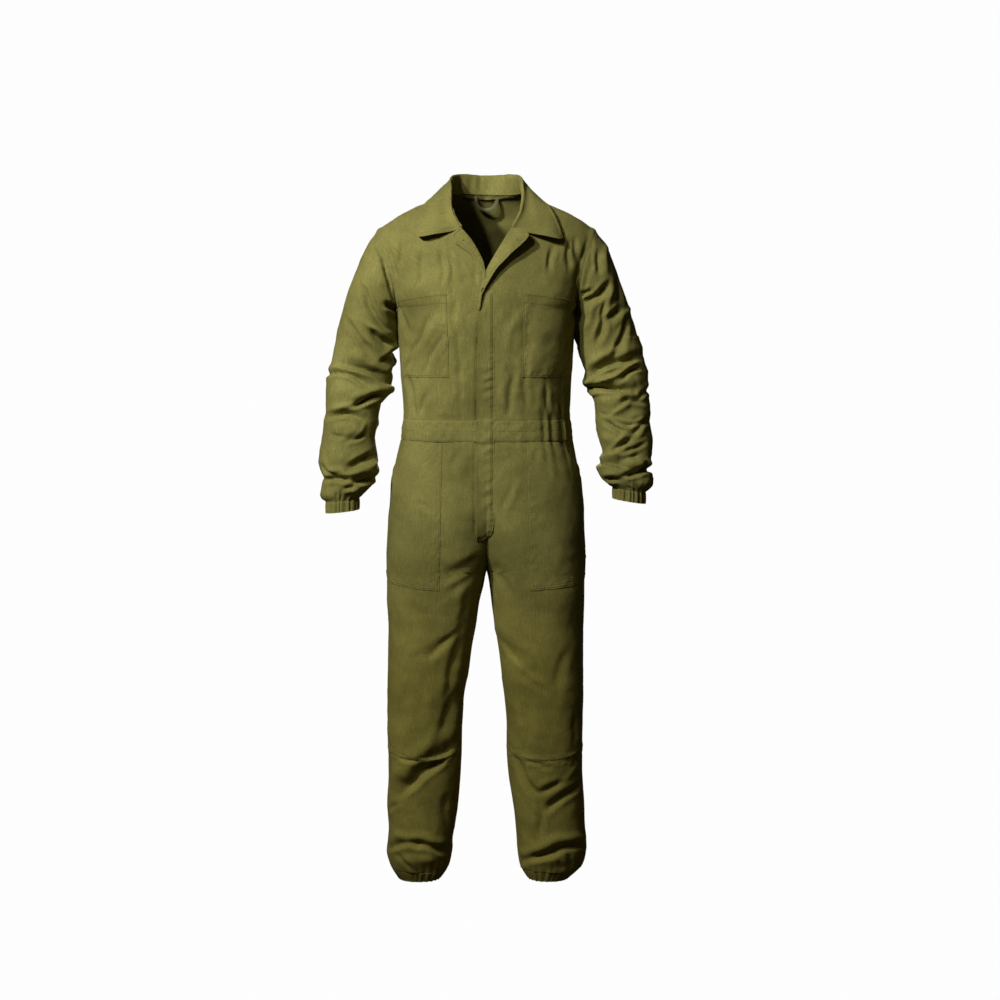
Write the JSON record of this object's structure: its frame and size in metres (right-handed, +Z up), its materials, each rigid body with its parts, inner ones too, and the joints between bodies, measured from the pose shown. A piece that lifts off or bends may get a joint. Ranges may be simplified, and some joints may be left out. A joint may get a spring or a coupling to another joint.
{
  "type": "boiler suit",
  "caption": "One-piece long-sleeved work garment, filled out as when worn, with a turned collar, covered front closure, patch pockets and elastic waist, cuffs and ankles.",
  "frame": {"origin": "midway between the two shoulder seams, at their mean height, where the wearer's shoulders carry the garment", "axes": "+Z up, -Y is the front of the garment, +X is the wearer's left"},
  "size_m": [0.7342, 0.2832, 1.565],
  "materials": {
    "cotton_drill": "matt olive green cotton drill with a fine diagonal twill",
    "loop_tape": "matt woven cotton tape",
    "button_plastic": "dark green moulded plastic, slightly glossy"
  },
  "bodies": {
    "root": {"ankle_hem_left": "cotton_drill", "ankle_hem_right": "cotton_drill", "back": "cotton_drill", "chest_pocket_left": "cotton_drill", "chest_pocket_right": "cotton_drill", "collar": "cotton_drill", "collar_button": "button_plastic", "cuff_left": "cotton_drill", "cuff_right": "cotton_drill", "fly_strip": "cotton_drill", "front_left": "cotton_drill", "front_right": "cotton_drill", "hanger_loop": "loop_tape", "hip_pocket_left": "cotton_drill", "hip_pocket_right": "cotton_drill", "lapel_left": "cotton_drill", "lapel_right": "cotton_drill", "leg_back_left": "cotton_drill", "leg_back_right": "cotton_drill", "leg_front_lower_left": "cotton_drill", "leg_front_lower_right": "cotton_drill", "leg_front_upper_left": "cotton_drill", "leg_front_upper_right": "cotton_drill", "neck_band": "cotton_drill", "sleeve_left": "cotton_drill", "sleeve_right": "cotton_drill", "waistband_back": "cotton_drill", "waistband_front_left": "cotton_drill", "waistband_front_right": "cotton_drill"}
  },
  "joints": []
}
